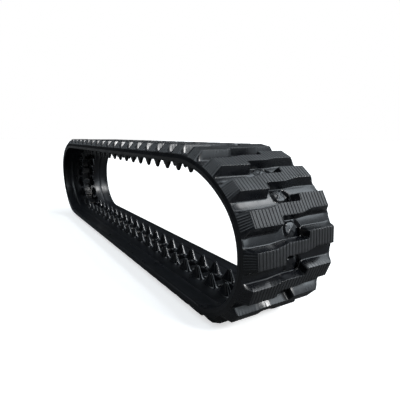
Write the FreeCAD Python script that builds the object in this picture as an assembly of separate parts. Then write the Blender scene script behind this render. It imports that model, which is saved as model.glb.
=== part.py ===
import FreeCAD, Part
import math
import os

# Rubber track for a compact track loader: an endless belt 320 mm wide with 52 links of 86 mm, standing
# free on its ground run. +X points to the near end of the loop, +Y across the belt, +Z up. The origin is
# on the ground, under the middle of the loop. All sizes are in millimetres and degrees.
#
# Two running coordinates describe the loop. Station s is the distance along the neutral line of the steel
# cords, zero under the middle of the loop and growing towards the near end. Offset n is the distance from
# that line, positive towards the tread and negative towards the inside of the loop.

# Driving dimensions of the loop
PITCH = 86.0
LINKS = 52
WIDTH = 320.0
END_RADIUS = 197.0          # neutral line at each end of the loop
END_SWEEP = 141.0           # how far that radius turns, from the ground run upwards
CROWN_RADIUS = 390.0        # neutral line from there to the top run
LINK_PHASE = 27.7           # station of the first link's centre

# Offsets of the belt's layers from the neutral line
INSIDE = -13.5              # roller path, the inner face
OUTSIDE = 11.7              # bottom of the tread grooves
LUG_TOP = 36.2              # face of the tread bars, which meets the ground

# Belt and sprocket windows
EDGE_CHAMFER = 3.0
WEB_HALF_WIDTH = 23.0       # half of a sprocket window, across the belt
BRIDGE_LENGTH = 34.0        # rubber between two windows, along the belt
WINDOW_LENGTH = PITCH - BRIDGE_LENGTH
MEMBRANE_INSIDE = 5.7       # inner face of the skin that closes the windows
PAD_TOP = 18.0              # raised pad on that skin
PAD_HALF_WIDTH = 20.0
PAD_HALF_LENGTH = 19.0
PAD_SLOPE = 3.0
BODY_GAP = 2.8              # clearance between two neighbouring stretches of belt
OPEN_GAP = 4.0              # clearance where the loop is opened, at the middle of the top run

# Tread bars: two blocks, staggered along the belt, joined by a neck
LUG_FAR = 38.6              # outer edge of each block, from the bar's centre
LUG_NEAR = 7.2              # inner edge of each block
NECK_HALF = 17.0
BLOCK_END = 41.0            # where a block steps down to the neck, from the belt's centre line
NECK_SLOPE_START = 30.0
NECK_SLOPE_END = 74.0
LUG_DRAFT = 13.5            # how much wider a bar is at its root, each side
NECK_DRAFT = 0.45           # share of that at the neck and at the steps down to it
SHOULDER = 24.0             # width of the slope at the ends of a bar
LUG_ROOT = 3.0              # the bars are formed from here and trimmed to the belt
TRIM_MARGIN = 5.0           # how far a shape that trims another reaches past it

# Steel cores, one in each link
CORE_HALF_WIDTH = 118.0
WING_HALF_LENGTH = 17.0
WING_INSIDE = -11.4
WING_OUTSIDE = -3.0
BRIDGE_HALF_LENGTH = 14.0
BRIDGE_INSIDE = -11.4
BRIDGE_OUTSIDE = 6.0

# Guide horns, two on each link, in a rubber jacket over a steel horn of the core
HORN_OFFSET = 40.0          # centre of a horn, from the belt's centre line
HORN_HEIGHT = 44.5
HORN_BASE = (33.0, 13.0)    # half length along the belt, half width across it
HORN_TIP = (6.5, 5.0)
HORN_JACKET = 4.5           # thickness of the rubber

# Steel cord plies, one each side of the windows
PLY_INNER_EDGE = 34.0
PLY_OUTER_EDGE = 146.0
PLY_HALF_THICKNESS = 1.9
CORE_CLEARANCE = 2.0        # between a core's bridge and the plies
ROOT_DEPTH = 2.0            # how deep a horn is formed into what it stands on

# Lengths worked out from the driving dimensions
HALF_LOOP = PITCH * LINKS / 2
END_LENGTH = END_RADIUS * math.radians(END_SWEEP)
CROWN_LENGTH = CROWN_RADIUS * math.radians(180.0 - END_SWEEP)
RUN_DIFFERENCE = 2 * (CROWN_RADIUS - END_RADIUS) * math.sin(math.radians(END_SWEEP))
HALF_GROUND_RUN = (HALF_LOOP - END_LENGTH - CROWN_LENGTH) / 2 + RUN_DIFFERENCE / 4

# Each body of the loop: name, first link, last link, gap at its first end, gap at its last end
BODIES = (
    ("ground_run", -10, 9, BODY_GAP, BODY_GAP),
    ("near_end", 10, 13, BODY_GAP, BODY_GAP),
    ("near_bend", 14, 17, BODY_GAP, BODY_GAP),
    ("near_shoulder", 18, 21, BODY_GAP, BODY_GAP),
    ("near_crown", 22, 25, BODY_GAP, OPEN_GAP),
    ("far_end", -14, -11, BODY_GAP, BODY_GAP),
    ("far_bend", -18, -15, BODY_GAP, BODY_GAP),
    ("far_shoulder", -22, -19, BODY_GAP, BODY_GAP),
    ("far_crown", -26, -23, OPEN_GAP, BODY_GAP),
)

# Stretches of the half loop with s > 0: last station, radius of the neutral line (None where straight)
STRETCHES = (
    (HALF_GROUND_RUN, None),
    (HALF_GROUND_RUN + END_LENGTH, END_RADIUS),
    (HALF_GROUND_RUN + END_LENGTH + CROWN_LENGTH, CROWN_RADIUS),
    (math.inf, None),
)


def station(s):
    """Point and heading of the neutral line: x, z, and the angle from +X towards +Z in radians."""
    x, z, heading, start = 0.0, LUG_TOP, 0.0, 0.0
    for end, radius in STRETCHES:
        length = min(abs(s), end) - start
        if radius is None:
            x += length * math.cos(heading)
            z += length * math.sin(heading)
        else:
            turn = length / radius
            x += radius * (math.sin(heading + turn) - math.sin(heading))
            z += radius * (math.cos(heading) - math.cos(heading + turn))
            heading += turn
        start = end
        if abs(s) <= end:
            break
    return (x, z, heading) if s >= 0 else (-x, z, -heading)


def place(shape, s):
    """Move a shape drawn about the origin, with x along the belt and z inwards, to station s."""
    x, z, heading = station(s)
    turn = FreeCAD.Rotation(FreeCAD.Vector(0, 1, 0), -math.degrees(heading))
    placed = shape.copy()
    placed.Placement = FreeCAD.Placement(FreeCAD.Vector(x, 0, z), turn)
    return placed


def section_face(s, section):
    """Face across the belt at station s, from its (y, n) corners."""
    x, z, heading = station(s)
    across = math.sin(heading)
    down = math.cos(heading)
    corners = [FreeCAD.Vector(x + n * across, y, z - n * down) for y, n in section]
    return Part.Face(Part.makePolygon(corners + corners[:1]))


def stretch_bounds(start, end):
    """The stretches that lie between two stations, as (start, end, radius)."""
    signed = []
    previous = 0.0
    for limit, radius in STRETCHES:
        signed.append((previous, limit, radius))
        signed.append((-limit, -previous, radius))
        previous = limit
    found = []
    for low, high, radius in sorted(signed, key=lambda item: item[0]):
        a = max(start, low)
        b = min(end, high)
        if b - a > 1e-6:
            found.append((a, b, radius))
    return found


def sweep(section, start, end):
    """Solid with one cross-section along the neutral line from one station to another."""
    pieces = []
    for a, b, radius in stretch_bounds(start, end):
        face = section_face(a, section)
        x, z, heading = station(a)
        if radius is None:
            run = FreeCAD.Vector(math.cos(heading), 0, math.sin(heading)) * (b - a)
            pieces.append(face.extrude(run))
        else:
            centre = FreeCAD.Vector(x - radius * math.sin(heading), 0, z + radius * math.cos(heading))
            turn = math.degrees((b - a) / radius)
            pieces.append(face.revolve(centre, FreeCAD.Vector(0, -1, 0), turn))
    whole = pieces[0] if len(pieces) == 1 else pieces[0].fuse(pieces[1:]).removeSplitter()
    return whole.Solids[0]


def block(half_length, y_low, y_high, n_low, n_high):
    """Box about the origin, with x along the belt and z inwards."""
    corner = FreeCAD.Vector(-half_length, y_low, -n_high)
    return Part.makeBox(2 * half_length, y_high - y_low, n_high - n_low, corner)


def frustum(base, tip, n_base, n_tip, y):
    """Four-sided taper from a base rectangle to a tip rectangle, both given as half sizes."""
    wires = []
    for (half_x, half_y), n in ((base, n_base), (tip, n_tip)):
        corners = [FreeCAD.Vector(sx * half_x, y + sy * half_y, -n)
                   for sx, sy in ((-1, -1), (1, -1), (1, 1), (-1, 1))]
        wires.append(Part.makePolygon(corners + corners[:1]))
    return Part.makeLoft(wires, True, True)


def mirrored(section):
    return [(-y, n) for y, n in section]


def band_section():
    """Right half of the belt, from the sprocket windows to the edge."""
    edge = WIDTH / 2
    return [(WEB_HALF_WIDTH, INSIDE), (edge - EDGE_CHAMFER, INSIDE), (edge, INSIDE + EDGE_CHAMFER),
            (edge, OUTSIDE - EDGE_CHAMFER), (edge - EDGE_CHAMFER, OUTSIDE), (WEB_HALF_WIDTH, OUTSIDE)]


def ply_section():
    return [(PLY_INNER_EDGE, -PLY_HALF_THICKNESS), (PLY_OUTER_EDGE, -PLY_HALF_THICKNESS),
            (PLY_OUTER_EDGE, PLY_HALF_THICKNESS), (PLY_INNER_EDGE, PLY_HALF_THICKNESS)]


def rectangle(half_width, n_low, n_high):
    return [(-half_width, n_low), (half_width, n_low), (half_width, n_high), (-half_width, n_high)]


def bar_outline(grow):
    """Corners (x, y) of a tread bar, seen from the tread and grown outwards by a draft."""
    end = WIDTH / 2 + TRIM_MARGIN
    less = NECK_DRAFT * grow
    half = [(-end, LUG_NEAR + grow), (-NECK_SLOPE_END, LUG_NEAR + grow),
            (-NECK_SLOPE_START, NECK_HALF + less), (BLOCK_END - less, NECK_HALF + less),
            (BLOCK_END - less, LUG_FAR + grow), (end, LUG_FAR + grow)]
    return [(x, y) for y, x in half] + [(-x, -y) for y, x in half]


def tread_bar():
    """One bar about the origin: drafted sides, then the shoulders cut at its ends."""
    wires = []
    for grow, n in ((LUG_DRAFT, LUG_ROOT), (0.0, LUG_TOP)):
        corners = [FreeCAD.Vector(x, y, -n) for x, y in bar_outline(grow)]
        wires.append(Part.makePolygon(corners + corners[:1]))
    drafted = Part.makeLoft(wires, True, True)
    edge = WIDTH / 2
    profile = [(-edge, 0.0), (edge, 0.0), (edge, OUTSIDE), (edge - SHOULDER, LUG_TOP),
               (-edge + SHOULDER, LUG_TOP), (-edge, OUTSIDE)]
    reach = LUG_FAR + LUG_DRAFT + TRIM_MARGIN
    corners = [FreeCAD.Vector(-reach, y, -n) for y, n in profile]
    prism = Part.Face(Part.makePolygon(corners + corners[:1])).extrude(FreeCAD.Vector(2 * reach, 0, 0))
    return drafted.common(prism).Solids[0]


def core():
    """Steel core: two wings, the bridge that the sprocket pulls, and two horns inside their jackets."""
    wings = block(WING_HALF_LENGTH, -CORE_HALF_WIDTH, CORE_HALF_WIDTH, WING_INSIDE, WING_OUTSIDE)
    bridge_half_width = PLY_INNER_EDGE - CORE_CLEARANCE
    bridge = block(BRIDGE_HALF_LENGTH, -bridge_half_width, bridge_half_width, BRIDGE_INSIDE, BRIDGE_OUTSIDE)
    base = (HORN_BASE[0] - 3 * HORN_JACKET, HORN_BASE[1] - HORN_JACKET)
    tip = (HORN_TIP[0] - HORN_JACKET / 2, HORN_TIP[1] - HORN_JACKET / 2)
    top = INSIDE - HORN_HEIGHT + HORN_JACKET
    horns = [frustum(base, tip, WING_INSIDE + ROOT_DEPTH, top, side * HORN_OFFSET) for side in (-1, 1)]
    return wings.fuse([bridge] + horns).removeSplitter().Solids[0]


def horn_jacket(side):
    """Rubber over one horn, solid: the steel horn is cut out of it where it is placed."""
    return frustum(HORN_BASE, HORN_TIP, INSIDE + ROOT_DEPTH, INSIDE - HORN_HEIGHT, side * HORN_OFFSET)


def window_skin(start, end, centre):
    """Skin that closes one sprocket window, between two stations, with its raised pad."""
    base = (PAD_HALF_LENGTH, PAD_HALF_WIDTH)
    tip = (PAD_HALF_LENGTH - PAD_SLOPE, PAD_HALF_WIDTH - PAD_SLOPE)
    middle = (MEMBRANE_INSIDE + OUTSIDE) / 2
    pad = place(frustum(base, tip, middle, PAD_TOP, 0.0), centre)
    room = sweep(rectangle(WEB_HALF_WIDTH, MEMBRANE_INSIDE, PAD_TOP + TRIM_MARGIN), start, end)
    skin = sweep(rectangle(WEB_HALF_WIDTH, MEMBRANE_INSIDE, OUTSIDE), start, end)
    return skin.fuse(pad.common(room)).removeSplitter().Solids[0]


def above_ground():
    """Everything over the floor: the heel of a bar that lifts off the ground run is pressed flat on it."""
    reach = HALF_LOOP
    return Part.makeBox(2 * reach, 2 * WIDTH, reach, FreeCAD.Vector(-reach, -WIDTH, 0))


def link_centre(link):
    return LINK_PHASE + PITCH * link


def build_body(first, last, first_gap, last_gap):
    """All the pieces of one stretch of the loop, as a dictionary of piece name to solids."""
    start = link_centre(first) - PITCH / 2 + first_gap / 2
    end = link_centre(last) + PITCH / 2 - last_gap / 2
    stations = [link_centre(link) for link in range(first, last + 1)]
    gaps = [s - PITCH / 2 for s in stations] + [stations[-1] + PITCH / 2]

    cores = [place(core(), s) for s in stations]
    plies = [sweep(section, start, end) for section in (ply_section(), mirrored(ply_section()))]
    bands = [sweep(section, start, end).cut(cores + plies).Solids[0]
             for section in (band_section(), mirrored(band_section()))]

    web = rectangle(WEB_HALF_WIDTH, INSIDE, OUTSIDE)
    bridges = [sweep(web, s - BRIDGE_LENGTH / 2, s + BRIDGE_LENGTH / 2).cut(steel).Solids[0]
               for s, steel in zip(stations, cores)]
    half_window = WINDOW_LENGTH / 2
    skins = [window_skin(max(s - half_window, start), min(s + half_window, end), s) for s in gaps]

    belt = sweep(rectangle(WIDTH / 2 + TRIM_MARGIN, INSIDE, OUTSIDE), start, end)
    bar_room = rectangle(WIDTH / 2 + TRIM_MARGIN, OUTSIDE, LUG_TOP + TRIM_MARGIN)
    room = sweep(bar_room, start, end).common(above_ground())
    bars = [place(tread_bar(), s).common(room).Solids[0] for s in stations]
    horns = [place(horn_jacket(side), s).cut([belt, steel]).Solids[0]
             for s, steel in zip(stations, cores) for side in (-1, 1)]
    return {
        "carcass_bands": bands,
        "window_web": skins + bridges,
        "tread_bars": bars,
        "guide_horns": horns,
        "steel_cores": cores,
        "cord_plies": plies,
    }


os.makedirs("parts", exist_ok=True)
for body_name, first_link, last_link, gap_before, gap_after in BODIES:
    pieces_by_name = build_body(first_link, last_link, gap_before, gap_after)
    for piece_name, solids in pieces_by_name.items():
        node = Part.makeCompound(solids)
        node.exportStep("parts/" + body_name + "_" + piece_name + ".step")
        volume = round(node.Volume / 1000.0)
        print(body_name, piece_name, len(solids), "solids", volume, "cm3", node.isValid())
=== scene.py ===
import math

import bpy
import numpy as np
from mathutils import Matrix, Vector


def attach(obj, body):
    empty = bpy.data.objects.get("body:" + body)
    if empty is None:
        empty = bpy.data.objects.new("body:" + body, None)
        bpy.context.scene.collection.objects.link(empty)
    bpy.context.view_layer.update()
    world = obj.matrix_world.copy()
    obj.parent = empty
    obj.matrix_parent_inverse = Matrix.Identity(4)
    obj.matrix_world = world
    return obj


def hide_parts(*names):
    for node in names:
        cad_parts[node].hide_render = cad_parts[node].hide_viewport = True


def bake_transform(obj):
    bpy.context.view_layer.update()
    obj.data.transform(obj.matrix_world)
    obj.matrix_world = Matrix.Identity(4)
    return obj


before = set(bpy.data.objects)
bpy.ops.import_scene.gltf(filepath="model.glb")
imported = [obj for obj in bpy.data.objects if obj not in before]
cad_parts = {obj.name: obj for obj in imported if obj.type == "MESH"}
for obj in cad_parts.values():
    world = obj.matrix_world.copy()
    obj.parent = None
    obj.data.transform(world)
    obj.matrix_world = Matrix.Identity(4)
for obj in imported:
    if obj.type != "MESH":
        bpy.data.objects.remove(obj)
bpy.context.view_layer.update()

# The rubber track, in metres, in the frame of the CAD model: +X is the near end of the loop, Y runs across
# the belt and Z is up from the ground. Station s is the distance along the neutral line of the steel
# cords, zero under the middle of the loop. Offset n is the distance from that line, positive outwards.

MM = 0.001

# Driving dimensions of the loop, the same as the CAD model's
PITCH = 86 * MM
LINKS = 52
HALF_WIDTH = 160 * MM
END_RADIUS = 197 * MM
END_SWEEP = math.radians(141)
CROWN_RADIUS = 390 * MM
LINK_PHASE = 27.7 * MM
INSIDE = -13.5 * MM
OUTSIDE = 11.7 * MM
LUG_TOP = 36.2 * MM

# Lengths worked out from them
HALF_LOOP = PITCH * LINKS / 2
END_LENGTH = END_RADIUS * END_SWEEP
CROWN_LENGTH = CROWN_RADIUS * (math.pi - END_SWEEP)
RADIUS_STEP = CROWN_RADIUS - END_RADIUS
HALF_GROUND_RUN = (HALF_LOOP - END_LENGTH - CROWN_LENGTH + RADIUS_STEP * math.sin(END_SWEEP)) / 2

# Bodies of the loop in the order of their stations: name, first link, last link
BODIES = (
    ("far_crown", -26, -23),
    ("far_shoulder", -22, -19),
    ("far_bend", -18, -15),
    ("far_end", -14, -11),
    ("ground_run", -10, 9),
    ("near_end", 10, 13),
    ("near_bend", 14, 17),
    ("near_shoulder", 18, 21),
    ("near_crown", 22, 25),
)
NEAREST_STEPS = 10

# Tread bars. The draft is how much wider a bar is at its root than at its face; the neck takes a share of
# it, which changes over the reaches either side of the step from the neck to a block.
LUG_FAR = 38.6 * MM
LUG_NEAR = 7.2 * MM
NECK_HALF = 17 * MM
BLOCK_END = 41 * MM
NECK_SLOPE_START = 30 * MM
NECK_SLOPE_END = 74 * MM
LUG_DRAFT = 9.5 * MM
NECK_DRAFT = 0.45
STEP_REACH = (6 * MM, 26 * MM)
BLOCK_REACH = (-3 * MM, 12 * MM)
SHOULDER_START = 136 * MM
SHOULDER_END = 159 * MM
INNER_CORNER = 6 * MM
OUTER_CORNER = 4 * MM
WALL_LEAN = 0.5 * MM
EDGE_ROUND = 1.6 * MM
ROOT_FILLET = 4 * MM
RIB_PITCH = 11 * MM
RIB_GROOVE = 2.1 * MM
RIB_FLAT = 0.6 * MM
RIB_DEPTH = 1.5 * MM
SHOULDER_SPREAD = (3 * MM, 5 * MM)
SERRATIONS = 6
SERRATION_HALF = 0.022
SERRATION_HEIGHT = 1.0 * MM
BAR_SETTLED = 0.55

# Belt: edges, sprocket windows, and the pads on the skins that close them
EDGE_FALL = 1.2 * MM
WINDOW_HALF_WIDTH = 23 * MM
WINDOW_HALF_LENGTH = 26 * MM
WINDOW_CORNER = 7 * MM
WINDOW_FLOOR = 5.7 * MM
PAD_CENTRE = -2 * MM
PAD_HALF_WIDTH = 21 * MM
PAD_HALF_LENGTH = 19 * MM
PAD_RISE = 6.0 * MM
CROSS_RISE = 1.4 * MM
POCKET_FLOOR = 4.0 * MM
POCKET_START = (-34 * MM, -27 * MM)
POCKET_END = (15 * MM, 22 * MM)
POCKET_SIDE = (20 * MM, 26 * MM)
POCKET_LIP = ((-26 * MM, 42 * MM), (-6 * MM, 43 * MM), (8 * MM, 35 * MM), (17 * MM, 28 * MM))
PARTING_RISE = 0.5 * MM
PARTING_HALF_WIDTH = 0.9 * MM

# Inner face of the belt, outwards from its middle: the step beside the horns, a fine line in the roller
# path, and a shallow hollow. A pair is where a slope begins and where it ends.
PATH_EDGE = (79 * MM, 83 * MM)
PATH_STEP = 0.6 * MM
LINE_PLACE = 97 * MM
LINE_DEPTH = 0.9 * MM
HOLLOW_START = (112 * MM, 118 * MM)
HOLLOW_END = (146 * MM, 152 * MM)
HOLLOW_DEPTH = 0.8 * MM

# Guide horns. Sizes along and across the belt; squareness is that of the section at the foot and at the tip.
HORN_OFFSET = 40 * MM
HORN_HEIGHT = 44.5 * MM
HORN_BASE = (33 * MM, 13 * MM)
HORN_TIP = (6.5 * MM, 5 * MM)
HORN_ROOT = 3 * MM
HORN_SQUARENESS = (3.2, 2.1)
HORN_CAP_START = 0.88
HORN_CAP_LENGTH = 0.125


# ---------------------------------------------------------------- the loop

def neutral_line(s):
    """x, z and heading of the neutral line at an array of stations."""
    length = np.abs(s)
    ground = np.minimum(length, HALF_GROUND_RUN)
    end = np.clip(length - HALF_GROUND_RUN, 0, END_LENGTH) / END_RADIUS
    crown = np.clip(length - HALF_GROUND_RUN - END_LENGTH, 0, CROWN_LENGTH) / CROWN_RADIUS
    top = np.maximum(length - HALF_GROUND_RUN - END_LENGTH - CROWN_LENGTH, 0)
    heading = end + crown
    x = ground + END_RADIUS * np.sin(end) + CROWN_RADIUS * (np.sin(heading) - np.sin(end)) - top
    z = LUG_TOP + END_RADIUS * (1 - np.cos(end)) + CROWN_RADIUS * (np.cos(end) - np.cos(heading))
    side = np.where(s < 0, -1.0, 1.0)
    return side * x, z, side * heading


def on_belt(s, y, n):
    """Points of the bent belt at stations s, across it at y, at offset n."""
    x, z, heading = neutral_line(s)
    return np.stack([x + n * np.sin(heading), y + 0 * x, z - n * np.cos(heading)], -1)


def on_link(centre, x, y, n, settle):
    """Points carried rigidly by the link at a station. Where settle is 1 they keep their offset from the
    bent belt instead, so that a foot follows the belt round the ends of the loop."""
    cx, cz, turn = neutral_line(np.array(centre))
    px = cx + x * np.cos(turn) + n * np.sin(turn)
    pz = cz + x * np.sin(turn) - n * np.cos(turn)
    s = centre + x
    for _ in range(NEAREST_STEPS):
        qx, qz, heading = neutral_line(s)
        s = s + (px - qx) * np.cos(heading) + (pz - qz) * np.sin(heading)
    qx, qz, heading = neutral_line(s)
    offset = (px - qx) * np.sin(heading) - (pz - qz) * np.cos(heading)
    placed = on_belt(s, y, n * settle + offset * (1 - settle))
    placed[..., 2] = np.maximum(placed[..., 2], 0)
    return placed


def link_centre(link):
    return LINK_PHASE + PITCH * link


def smooth(value, low, high):
    """0 below low, 1 above high, and a smooth rise between them."""
    t = np.clip((value - low) / (high - low), 0, 1)
    return t * t * (3 - 2 * t)


# ---------------------------------------------------------------- meshes

def tube_faces(columns, ring):
    """Faces of a closed tube of rings, with a cap at each end."""
    faces = []
    for i in range(columns - 1):
        a = i * ring
        b = a + ring
        for j in range(ring):
            k = (j + 1) % ring
            faces.append((a + j, a + k, b + k, b + j))
    faces.append(tuple(range(ring - 1, -1, -1)))
    faces.append(tuple(range((columns - 1) * ring, columns * ring)))
    return faces


def make_object(name, points, faces, material_of_face, materials, sharp=38):
    mesh = bpy.data.meshes.new(name)
    mesh.from_pydata(points.tolist(), [], faces)
    for material in materials:
        mesh.materials.append(material)
    mesh.polygons.foreach_set("material_index", material_of_face)
    mesh.polygons.foreach_set("use_smooth", [True] * len(faces))
    mesh.set_sharp_from_angle(angle=math.radians(sharp))
    mesh.validate()
    made = bpy.data.objects.new(name, mesh)
    bpy.context.scene.collection.objects.link(made)
    return made


def joined(parts):
    """One set of points and faces from several, as (points, faces, materials of the faces)."""
    points, faces, kinds, start = [], [], [], 0
    for p, f, k in parts:
        points.append(p)
        faces += [tuple(start + i for i in face) for face in f]
        kinds += k
        start += len(p)
    return np.concatenate(points), faces, kinds


# ---------------------------------------------------------------- tread bars

def step_rise(d):
    """Outline of a block's inner corner: how far it has stepped out, d past the corner."""
    a = np.clip(d + INNER_CORNER, 0, INNER_CORNER)
    straight = LUG_FAR - NECK_HALF - INNER_CORNER - OUTER_CORNER
    c = np.clip(OUTER_CORNER - (d - WALL_LEAN), 0, OUTER_CORNER)
    concave = INNER_CORNER - np.sqrt(INNER_CORNER ** 2 - a ** 2)
    convex = np.sqrt(OUTER_CORNER ** 2 - c ** 2)
    return concave + np.clip(d / WALL_LEAN, 0, 1) * straight + convex


def bar_edge(y, grow):
    """The bar's outline on the side of growing s, as (y, x), grown outwards. The other side is this one
    turned by half a turn."""
    near_step = 1 - smooth(np.abs(y - BLOCK_END), *STEP_REACH)
    moved = y - NECK_DRAFT * grow * near_step
    neck = np.interp(moved, [-NECK_SLOPE_END, -NECK_SLOPE_START], [LUG_NEAR, NECK_HALF])
    past_step = moved - BLOCK_END + NECK_DRAFT * grow
    share = np.interp(moved, [-NECK_SLOPE_END, -NECK_SLOPE_START], [1, NECK_DRAFT])
    share = share + (1 - NECK_DRAFT) * smooth(past_step, *BLOCK_REACH)
    return moved, neck + grow * share + step_rise(past_step)


def rib_groove(y):
    """Depth of the fine grooves that run along the belt in the face of a bar."""
    across = np.abs((y + RIB_PITCH / 2) % RIB_PITCH - RIB_PITCH / 2)
    groove = np.clip((RIB_GROOVE - across) / (RIB_GROOVE - RIB_FLAT), 0, 1)
    return RIB_DEPTH * groove * (np.abs(y) < SHOULDER_START - RIB_GROOVE)


def belt_top(y):
    """Offset of the bottom of the tread grooves, which falls towards the belt's edges."""
    return OUTSIDE - EDGE_FALL * smooth(np.abs(y), SHOULDER_START, HALF_WIDTH + 6 * MM)


def bar_columns():
    """Places across the belt where the bar's mesh has a row of points."""
    ribs = int((SHOULDER_START - RIB_GROOVE) / RIB_PITCH)
    found = [j * RIB_PITCH + d for j in range(-ribs, ribs + 1)
             for d in (-RIB_GROOVE, -RIB_FLAT, RIB_FLAT, RIB_GROOVE)]
    corner = [-INNER_CORNER * f for f in (1, 0.78, 0.5, 0.22, 0.06)] + [0, WALL_LEAN]
    corner += [WALL_LEAN + OUTER_CORNER * f for f in (0.06, 0.25, 0.55, 1)]
    found += [side * (BLOCK_END + d) for side in (-1, 1) for d in corner]
    found += [side * y for side in (-1, 1) for y in (NECK_SLOPE_START, NECK_SLOPE_END)]
    shoulder = np.linspace(SHOULDER_START, SHOULDER_END, 8)
    found += [side * y for side in (-1, 1) for y in shoulder]
    found = sorted(found)
    kept = [found[0]]
    for y in found[1:]:
        if y - kept[-1] > 0.12 * MM:
            kept.append(y)
    return np.array(kept)


def bar_rows():
    """The bar's side from its face down: growth, offset, groove share, and how far it is down the foot.
    The last row is buried in the belt."""
    height = LUG_TOP - OUTSIDE
    rows = []
    for angle in (0, 30, 60, 90):
        a = math.radians(angle)
        rows.append((-EDGE_ROUND * (1 - math.sin(a)), LUG_TOP - EDGE_ROUND * (1 - math.cos(a)),
                     (1 - angle / 90) ** 0.5, 0.0))
    for angle in (0, 25, 45, 65, 90):
        a = math.radians(angle)
        grow = LUG_DRAFT * (1 - ROOT_FILLET / height) + ROOT_FILLET * (1 - math.cos(a))
        rows.append((grow, OUTSIDE + ROOT_FILLET * (1 - math.sin(a)), 0.0, 1 - math.cos(a)))
    rows.append((rows[-1][0] + 0.3 * MM, OUTSIDE - 2 * MM, 0.0, 1.0))
    return rows


def serrations():
    """Places of the points across a bar's face, as shares of its width, and 1 for each one on a ridge."""
    places = [0.0]
    for k in range(1, SERRATIONS + 1):
        middle = k / (SERRATIONS + 1)
        places += [middle - SERRATION_HALF, middle, middle + SERRATION_HALF]
    places.append(1.0)
    return [(place, 1.0 if i % 3 == 2 else 0.0) for i, place in enumerate(places)]


def bar_materials(y, rows, count):
    """Material of each face of the bar: 0 on its flat top, 1 on its sides and shoulders."""
    kinds = []
    for i in range(len(y) - 1):
        middle = abs(y[i] + y[i + 1]) / 2 < SHOULDER_START
        for j in range(count):
            kinds.append(0 if middle and rows - 1 <= j < count - rows else 1)
    return kinds + [1, 1]


def bar_template():
    """The bar about its link's centre: x, y, n and settle of its points in rings, and its faces."""
    y = bar_columns()
    rows = bar_rows()
    ends = np.abs(y)
    slope = 1 - np.clip((ends - SHOULDER_START) / (SHOULDER_END - SHOULDER_START), 0, 1)
    floor = belt_top(y)
    fan = smooth(ends, SHOULDER_START, SHOULDER_START + 4 * MM)

    def side(grow, offset, share, foot, turned):
        spread = SHOULDER_SPREAD[0] + (SHOULDER_SPREAD[1] - SHOULDER_SPREAD[0]) * foot
        yy, xx = bar_edge(-y if turned else y, grow + spread * (1 - slope))
        if turned:
            yy, xx = -yy, -xx
        buried = offset < OUTSIDE
        n = floor + (offset - OUTSIDE) * (1 if buried else slope) - share * rib_groove(y)
        return xx, yy, n

    low = [side(*row, True) for row in rows]
    high = [side(*row, False) for row in rows]
    x0, y0, n0 = low[0]
    x1, y1, _ = high[0]
    ring = list(reversed(low))
    for place, ridge in serrations()[1:-1]:
        ring.append((x0 + (x1 - x0) * place, y0 + (y1 - y0) * place, n0 + ridge * fan * SERRATION_HEIGHT))
    ring += high
    x, yy, n = (np.stack([point[axis] for point in ring], 1) for axis in range(3))
    settle = 1 - smooth(n - floor[:, None], 0, BAR_SETTLED * (LUG_TOP - OUTSIDE))
    count = len(ring)
    faces = tube_faces(len(y), count)
    kinds = bar_materials(y, len(rows), count)
    return x.ravel(), yy.ravel(), n.ravel(), settle.ravel(), faces, kinds


# ---------------------------------------------------------------- belt

def window_depth(w, y):
    """Inner face around a sprocket window: offset at w along the belt from the window's centre."""
    dx = np.abs(w) - (WINDOW_HALF_LENGTH - WINDOW_CORNER)
    dy = np.abs(y) - (WINDOW_HALF_WIDTH - WINDOW_CORNER)
    outside = np.hypot(np.maximum(dx, 0), np.maximum(dy, 0))
    edge = outside + np.minimum(np.maximum(dx, dy), 0) - WINDOW_CORNER
    return smooth(-edge, -1.2 * MM, 2.6 * MM)


def inner_face(w, y):
    """Offset of the inner face of the belt."""
    across = np.abs(y)
    before_end = 1 - smooth(across, *HOLLOW_END)
    path = PATH_STEP * smooth(across, *PATH_EDGE) * before_end
    line = LINE_DEPTH * (1 - smooth(np.abs(across - LINE_PLACE), 0.2 * MM, 1.8 * MM))
    hollow = HOLLOW_DEPTH * smooth(across, *HOLLOW_START) * before_end
    return INSIDE + path + line + hollow + (WINDOW_FLOOR - INSIDE) * window_depth(w, y)


def outer_face(w, y):
    """Offset of the outer face of the belt: the groove floor, the pad over the window, and the pocket
    beside the pad."""
    lip = np.interp(w, *zip(*POCKET_LIP))
    pocket = smooth(y, *POCKET_SIDE) * (1 - smooth(y, lip - 4 * MM, lip + 3 * MM))
    pocket = pocket * (1 - smooth(w, *POCKET_END)) * smooth(w, *POCKET_START)
    face = belt_top(y) - (OUTSIDE - POCKET_FLOOR) * pocket
    u = np.clip(np.abs(w) / PAD_HALF_LENGTH, 0, 1.2)
    v = np.clip(np.abs(y - PAD_CENTRE) / PAD_HALF_WIDTH, 0, 1.2)
    round_off = 1 - smooth((u ** 4 + v ** 4) ** 0.25, 0.80, 1.03)
    dome = 0.75 + 0.25 * np.maximum(1 - u ** 2 - v ** 2, 0)
    ridge = (1 - smooth(np.abs(u - v), 0.05, 0.22)) * (1 - smooth(np.maximum(u, v), 0.6, 0.8))
    return face + round_off * (PAD_RISE * dome + CROSS_RISE * ridge)


def belt_stations(first, last):
    """Lines across the belt from one station to another, gathered at the windows' walls and the pads."""
    pad = [PAD_HALF_LENGTH * f for f in (0, 0.11, 0.24, 0.38, 0.52, 0.66, 0.79, 0.9, 1.04)]
    wall = [WINDOW_HALF_LENGTH + d * MM for d in (-3.6, -2.2, -1.2, -0.4, 0.6, 1.6)]
    half = pad + wall + [0.42 * PITCH]
    around = [-w for w in half] + half[1:] + [PITCH / 2]
    windows = [link_centre(link) + PITCH / 2 for link in range(BODIES[0][1] - 1, BODIES[-1][2] + 1)]
    lines = sorted(window + w for window in windows for w in around)
    between = [s for s in lines if first + 0.2 * MM < s < last - 0.2 * MM]
    return np.array([first] + between + [last])


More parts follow.
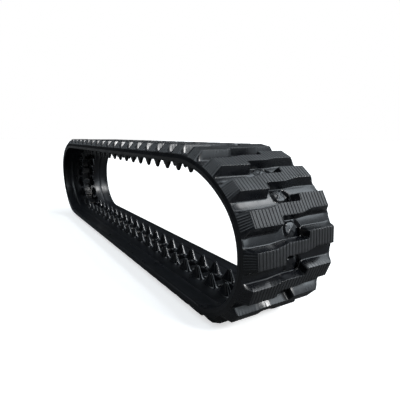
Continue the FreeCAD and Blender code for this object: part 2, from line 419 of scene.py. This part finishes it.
def belt_across():
    """Places across the belt of its points: on the tread side in order of y, then on the inner face back."""
    fine = list(np.arange(-24, 24.1, 2.4) * MM)
    pocket = [27 * MM, 30 * MM, 33 * MM, 36 * MM, 39 * MM, 42 * MM, 45 * MM, 49 * MM]
    plain = [58 * MM, 84 * MM, 112 * MM]
    edge = [SHOULDER_START + d * MM for d in (0, 4, 8, 12, 16, 20)]
    outer = [-y for y in reversed(edge)] + [-y for y in reversed(plain)] + [-36 * MM, -28 * MM]
    outer += fine + pocket + plain + edge
    wall = [WINDOW_HALF_WIDTH + d * MM for d in (-7, -3.6, -2.4, -1.4, -0.4, 0.6, 1.6)]
    line = [LINE_PLACE - 2 * MM, LINE_PLACE, LINE_PLACE + 2 * MM]
    half = wall + [35 * MM, 60 * MM, *PATH_EDGE, *line, *HOLLOW_START, 132 * MM, *HOLLOW_END, 157 * MM]
    inner = list(reversed(half)) + [8 * MM, -8 * MM] + [-y for y in half]
    return np.array(outer), np.array(inner)


def belt_side(top, bottom):
    """Rounded side of the belt between two offsets, with the mould's parting line: (y, n)."""
    middle = (top + bottom) / 2
    return [(HALF_WIDTH - 1.1 * MM, top - 1.0 * MM), (HALF_WIDTH, top - 3.2 * MM),
            (HALF_WIDTH, middle + PARTING_HALF_WIDTH), (HALF_WIDTH + PARTING_RISE, middle),
            (HALF_WIDTH, middle - PARTING_HALF_WIDTH), (HALF_WIDTH, bottom + 3.2 * MM),
            (HALF_WIDTH - 1.1 * MM, bottom + 1.0 * MM)]


def belt_mesh(first, last):
    """The belt between two stations: points in rings, faces, and the material of each face."""
    stations = belt_stations(first, last)
    w = (stations - LINK_PHASE) % PITCH - PITCH / 2
    outer, inner = belt_across()
    edge = np.array([HALF_WIDTH - 3 * MM])
    top = float(outer_face(np.array([0.0]), edge)[0])
    bottom = float(inner_face(np.array([0.0]), edge)[0])
    side = belt_side(top, bottom)
    one = np.ones(len(stations))
    ring_y = [one * y for y in outer] + [one * y for y, _ in side]
    ring_n = [outer_face(w, one * y) for y in outer] + [one * n for _, n in side]
    ring_y += [one * y for y in inner] + [-one * y for y, _ in reversed(side)]
    ring_n += [inner_face(w, one * y) for y in inner] + [one * n for _, n in reversed(side)]
    y = np.stack(ring_y, 1)
    n = np.stack(ring_n, 1)
    points = on_belt(stations[:, None] + 0 * y, y, n).reshape(-1, 3)
    points[:, 2] = np.maximum(points[:, 2], 0)
    ring = y.shape[1]
    faces = tube_faces(len(stations), ring)
    outside = len(outer) - 1
    kinds = [0 if j < outside else 1 for _ in range(len(stations) - 1) for j in range(ring)] + [1, 1]
    return points, faces, kinds


# ---------------------------------------------------------------- guide horns

def horn_template():
    """One guide horn about its link's centre and its own middle: x, y, n, settle and faces."""
    around = 28
    angles = np.arange(around) * 2 * math.pi / around
    c, s = np.cos(angles), np.sin(angles)
    # Height of each ring and its share of the flare at the root
    levels = [(-0.05, 0.0), (0.0, 1.0), (0.022, 0.62), (0.055, 0.3), (0.1, 0.08), (0.16, 0.0)]
    levels += [(t, 0.0) for t in (0.28, 0.4, 0.52, 0.64, 0.75, 0.84, 0.9, 0.945, 0.975, 0.993, 1.0)]
    x, y, n = [], [], []
    for t, flare in levels:
        u = max(t, 0.0)
        cap = math.sqrt(max(1 - (max(u - HORN_CAP_START, 0) / HORN_CAP_LENGTH) ** 2, 0.004))
        grow = HORN_ROOT * (flare if t >= 0 else 1.0)
        half_x = (HORN_BASE[0] + (HORN_TIP[0] - HORN_BASE[0]) * u) * cap + grow
        half_y = (HORN_BASE[1] + (HORN_TIP[1] - HORN_BASE[1]) * u) * cap + grow * 0.8
        power = 2 / (HORN_SQUARENESS[0] + (HORN_SQUARENESS[1] - HORN_SQUARENESS[0]) * u)
        x.append(half_x * np.sign(c) * np.abs(c) ** power)
        y.append(half_y * np.sign(s) * np.abs(s) ** power)
        n.append(np.full(around, INSIDE - HORN_HEIGHT * t))
    x, y, n = (np.stack(v) for v in (x, y, n))
    settle = 1 - smooth(INSIDE - n, 0, 0.5 * HORN_HEIGHT)
    return x.ravel(), y.ravel(), n.ravel(), settle.ravel(), tube_faces(len(levels), around)


# ---------------------------------------------------------------- materials

def new_material(name):
    """A material, its nodes and links, its shader and the object's own coordinates."""
    made = bpy.data.materials.new(name)
    made.use_nodes = True
    nodes, links = made.node_tree.nodes, made.node_tree.links
    place = nodes.new("ShaderNodeTexCoord").outputs["Object"]
    return made, nodes, links, nodes["Principled BSDF"], place


def colour_mix(nodes, a, b):
    """A mix of two colours, given as red, green and blue, or left to be linked."""
    mix = nodes.new("ShaderNodeMix")
    mix.data_type = "RGBA"
    if a:
        mix.inputs["A"].default_value = (*a, 1)
    mix.inputs["B"].default_value = (*b, 1)
    return mix


def rubber(name, colour, roughness, spread, grain, grain_depth, ripple):
    """Moulded rubber: mottled near-black, uneven gloss, fine grain and slow ripples of the mould."""
    made, nodes, links, shader, place = new_material(name)

    def noise(scale, detail, rough=0.55):
        node = nodes.new("ShaderNodeTexNoise")
        node.inputs["Scale"].default_value = scale
        node.inputs["Detail"].default_value = detail
        node.inputs["Roughness"].default_value = rough
        links.new(place, node.inputs["Vector"])
        return node.outputs["Fac"]

    def ramp(source, low, high, a, b):
        node = nodes.new("ShaderNodeMapRange")
        node.inputs["From Min"].default_value = low
        node.inputs["From Max"].default_value = high
        node.inputs["To Min"].default_value = a
        node.inputs["To Max"].default_value = b
        links.new(source, node.inputs["Value"])
        return node.outputs["Result"]

    def bump(source, distance, strength):
        node = nodes.new("ShaderNodeBump")
        node.inputs["Distance"].default_value = distance
        node.inputs["Strength"].default_value = strength
        links.new(source, node.inputs["Height"])
        return node

    mottle = colour_mix(nodes, [c * 0.7 for c in colour], [c * 1.35 for c in colour])
    links.new(ramp(noise(14, 6), 0.35, 0.65, 0, 1), mottle.inputs["Factor"])
    dust = colour_mix(nodes, None, [min(3.5 * c, 0.07) for c in colour])
    links.new(mottle.outputs["Result"], dust.inputs["A"])
    links.new(ramp(noise(95, 8, 0.7), 0.56, 0.82, 0, 0.35), dust.inputs["Factor"])
    links.new(dust.outputs["Result"], shader.inputs["Base Color"])

    gloss = ramp(noise(23, 5), 0.3, 0.7, roughness - spread, roughness + spread)
    links.new(gloss, shader.inputs["Roughness"])
    fine = bump(noise(grain, 3), grain_depth, 0.6)
    if ripple:
        slow = bump(noise(38, 2), ripple, 0.5)
        links.new(slow.outputs["Normal"], fine.inputs["Normal"])
    links.new(fine.outputs["Normal"], shader.inputs["Normal"])
    return made


def steel(name, colour, roughness, scale):
    """Scaled or drawn steel inside the rubber."""
    made, nodes, links, shader, place = new_material(name)
    noise = nodes.new("ShaderNodeTexNoise")
    noise.inputs["Scale"].default_value = scale
    noise.inputs["Detail"].default_value = 8
    links.new(place, noise.inputs["Vector"])
    tint = colour_mix(nodes, [c * 0.6 for c in colour], colour)
    links.new(noise.outputs["Fac"], tint.inputs["Factor"])
    links.new(tint.outputs["Result"], shader.inputs["Base Color"])
    bump = nodes.new("ShaderNodeBump")
    bump.inputs["Distance"].default_value = 0.4 * MM
    links.new(noise.outputs["Fac"], bump.inputs["Height"])
    links.new(bump.outputs["Normal"], shader.inputs["Normal"])
    shader.inputs["Metallic"].default_value = 1.0
    shader.inputs["Roughness"].default_value = roughness
    return made


# Each rubber: colour, roughness and its spread, grain and its depth, depth of the ripples
NEAR_BLACK = (0.0045, 0.0052, 0.0070)
FACE_BLACK = (0.019, 0.020, 0.0215)
tread_face = rubber("tread_face_rubber", FACE_BLACK, 0.46, 0.06, 900, 0.12 * MM, 0)
tread_side = rubber("tread_side_rubber", NEAR_BLACK, 0.27, 0.06, 700, 0.03 * MM, 0.35 * MM)
belt_outside = rubber("belt_outside_rubber", NEAR_BLACK, 0.19, 0.05, 600, 0.02 * MM, 0.35 * MM)
belt_inside = rubber("belt_inside_rubber", NEAR_BLACK, 0.33, 0.07, 700, 0.04 * MM, 0.3 * MM)
horn_rubber = rubber("horn_rubber", NEAR_BLACK, 0.16, 0.04, 500, 0.03 * MM, 0.4 * MM)
core_steel = steel("forged_steel", (0.32, 0.30, 0.28), 0.55, 160)
cord_steel = steel("brass_coated_cord", (0.55, 0.44, 0.26), 0.35, 600)


# ---------------------------------------------------------------- the pieces

def build_tread_bars(body, first, last, template):
    x, y, n, settle, faces, kinds = template
    parts = [(on_link(link_centre(link), x, y, n, settle), faces, kinds) for link in range(first, last + 1)]
    points, all_faces, all_kinds = joined(parts)
    bars = make_object(f"{body}_tread_bar_rubber", points, all_faces, all_kinds, [tread_face, tread_side])
    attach(bars, body)
    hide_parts(f"{body}_tread_bars")


def build_horns(body, first, last, template):
    x, y, n, settle, faces = template
    parts = []
    for link in range(first, last + 1):
        for side in (-1, 1):
            points = on_link(link_centre(link), x, y + side * HORN_OFFSET, n, settle)
            parts.append((points, faces, [0] * len(faces)))
    points, all_faces, all_kinds = joined(parts)
    horns = make_object(f"{body}_guide_horn_rubber", points, all_faces, all_kinds, [horn_rubber], 50)
    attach(horns, body)
    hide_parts(f"{body}_guide_horns")


def body_middle(first, last):
    """The link centre in the middle of a body, where two lengths of belt meet."""
    return link_centre((first + last + 1) // 2)


def build_belt():
    """Eight lengths of belt, each reaching across one joint, from the middle of a body to the middle of
    the next. The first and the last reach the opened joint at the middle of the top run."""
    for k in range(len(BODIES) - 1):
        before, after = BODIES[k], BODIES[k + 1]
        start = body_middle(*before[1:]) if k else link_centre(before[1]) - PITCH / 2
        end = body_middle(*after[1:]) if k < len(BODIES) - 2 else link_centre(after[2]) + PITCH / 2
        points, faces, kinds = belt_mesh(start, end)
        name = f"{before[0]}_to_{after[0]}_belt"
        belt = make_object(name, points, faces, kinds, [belt_outside, belt_inside])
        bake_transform(belt)
        stood_for = [f"{after[0]}_carcass_bands", f"{after[0]}_window_web"]
        if k == 0:
            stood_for += [f"{before[0]}_carcass_bands", f"{before[0]}_window_web"]
        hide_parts(*stood_for)


bar = bar_template()
horn = horn_template()
for body, first_link, last_link in BODIES:
    build_tread_bars(body, first_link, last_link, bar)
    build_horns(body, first_link, last_link, horn)
    for node, finish in (("steel_cores", core_steel), ("cord_plies", cord_steel)):
        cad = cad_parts[f"{body}_{node}"]
        cad.data.materials.clear()
        cad.data.materials.append(finish)
build_belt()


# ---------------------------------------------------------------- floor, light and camera

def build_floor():
    """A pale floor, lifted to near white where the camera sees it and dim in the rubber's reflections."""
    mesh = bpy.data.meshes.new("floor")
    r, z = 40.0, -0.5 * MM
    mesh.from_pydata([(-r, -r, z), (r, -r, z), (r, r, z), (-r, r, z)], [], [(0, 1, 2, 3)])
    floor = bpy.data.objects.new("floor", mesh)
    bpy.context.scene.collection.objects.link(floor)
    pale = bpy.data.materials.new("pale_floor")
    pale.use_nodes = True
    nodes, links = pale.node_tree.nodes, pale.node_tree.links
    lit = nodes["Principled BSDF"]
    lit.inputs["Base Color"].default_value = (0.80, 0.80, 0.80, 1)
    lit.inputs["Roughness"].default_value = 0.9
    lit.inputs["Specular IOR Level"].default_value = 0.0
    lit.inputs["Emission Color"].default_value = (1, 1, 1, 1)
    lit.inputs["Emission Strength"].default_value = FLOOR_LIFT
    dim = nodes.new("ShaderNodeBsdfDiffuse")
    dim.inputs["Color"].default_value = (0.14, 0.14, 0.14, 1)
    mix = nodes.new("ShaderNodeMixShader")
    links.new(nodes.new("ShaderNodeLightPath").outputs["Is Camera Ray"], mix.inputs[0])
    links.new(dim.outputs[0], mix.inputs[1])
    links.new(lit.outputs[0], mix.inputs[2])
    links.new(mix.outputs[0], nodes["Material Output"].inputs["Surface"])
    mesh.materials.append(pale)


def direction(azimuth, elevation):
    a, e = math.radians(azimuth), math.radians(elevation)
    return Vector((math.cos(e) * math.cos(a), math.cos(e) * math.sin(a), math.sin(e)))


def soft_light(name, azimuth, elevation, spread, radiance):
    """A distant round softbox: where it stands, its width, all in degrees, and how bright it looks."""
    light = bpy.data.lights.new(name, "SUN")
    light.angle = math.radians(spread)
    light.energy = radiance * math.pi * math.sin(light.angle / 2) ** 2
    lamp = bpy.data.objects.new(name, light)
    lamp.rotation_euler = (-direction(azimuth, elevation)).to_track_quat("-Z", "Y").to_euler()
    bpy.context.scene.collection.objects.link(lamp)


def build_world():
    """Dim light all round, with wide bright walls on the side that the rubber mirrors to the camera."""
    world = bpy.data.worlds.new("studio")
    bpy.context.scene.world = world
    world.use_nodes = True
    nodes, links = world.node_tree.nodes, world.node_tree.links
    place = nodes.new("ShaderNodeTexCoord").outputs["Generated"]
    total = None
    for azimuth, elevation, inner, outer, brightness in WALLS:
        dot = nodes.new("ShaderNodeVectorMath")
        dot.operation = "DOT_PRODUCT"
        dot.inputs[1].default_value = direction(azimuth, elevation)
        links.new(place, dot.inputs[0])
        wall = nodes.new("ShaderNodeMapRange")
        wall.interpolation_type = "SMOOTHSTEP"
        wall.inputs["From Min"].default_value = math.cos(math.radians(outer))
        wall.inputs["From Max"].default_value = math.cos(math.radians(inner))
        wall.inputs["To Max"].default_value = brightness
        links.new(dot.outputs["Value"], wall.inputs["Value"])
        add = nodes.new("ShaderNodeMath")
        add.operation = "ADD"
        add.inputs[1].default_value = DIM_ROOM
        if total is not None:
            links.new(total, add.inputs[1])
        links.new(wall.outputs["Result"], add.inputs[0])
        total = add.outputs[0]
    tint = nodes.new("ShaderNodeVectorMath")
    tint.operation = "SCALE"
    tint.inputs[0].default_value = (0.84, 0.93, 1.0)
    links.new(total, tint.inputs["Scale"])
    seen = nodes.new("ShaderNodeMix")
    seen.data_type = "RGBA"
    links.new(nodes.new("ShaderNodeLightPath").outputs["Is Camera Ray"], seen.inputs["Factor"])
    links.new(tint.outputs[0], seen.inputs["A"])
    seen.inputs["B"].default_value = (*[BACKDROP] * 3, 1)
    links.new(seen.outputs["Result"], nodes["Background"].inputs["Color"])


# Stage: brightness of the room, of the walls (azimuth, elevation, inner and outer half width, brightness)
# and of the floor and backdrop that the camera sees; then the lamps and the camera. The lens is in
# millimetres on a frame of 36.
DIM_ROOM = 0.03
WALLS = (
    (66, 38, 30, 60, 0.6),
    (30, 17, 4, 11, 3.5),
    (56, 33, 5, 14, 4.5),
    (80, 42, 5, 12, 2.4),
    (104, 46, 5, 12, 2.4),
    (-130, 58, 8, 36, 1.8),
    (-60, 35, 4, 20, 0.8),
)
FLOOR_LIFT = 0.6
BACKDROP = 1.0
LAMPS = (("window", 22, 40, 14, 40), ("softbox", 73, 47, 12, 5))
CAMERA_PLACE = (1.5624, -0.6467, 0.5308)
CAMERA_AZIMUTH = math.radians(59.53)
CAMERA_PITCH = math.radians(21.78)
CAMERA_ROLL = math.radians(0.32)
CAMERA_LENS = 29.41
CAMERA_SHIFT = (0.040, 0.167)


def build_camera():
    camera = bpy.data.cameras.new("camera")
    camera.lens = CAMERA_LENS
    camera.sensor_width = 36.0
    camera.shift_x, camera.shift_y = CAMERA_SHIFT
    camera.clip_start = 0.02
    holder = bpy.data.objects.new("camera", camera)
    a, p = CAMERA_AZIMUTH, CAMERA_PITCH
    forward = Vector((-math.sin(a) * math.cos(p), math.cos(a) * math.cos(p), -math.sin(p)))
    right = Vector((math.cos(a), math.sin(a), 0))
    up = right.cross(forward)
    c, s = math.cos(CAMERA_ROLL), math.sin(CAMERA_ROLL)
    across, above = right * c + up * s, up * c - right * s
    turn = Matrix((across, above, -forward)).transposed()
    holder.matrix_world = Matrix.Translation(CAMERA_PLACE) @ turn.to_4x4()
    bpy.context.scene.collection.objects.link(holder)
    bpy.context.scene.camera = holder


build_floor()
build_world()
for lamp in LAMPS:
    soft_light(*lamp)
build_camera()
bpy.context.scene.view_settings.view_transform = "Standard"
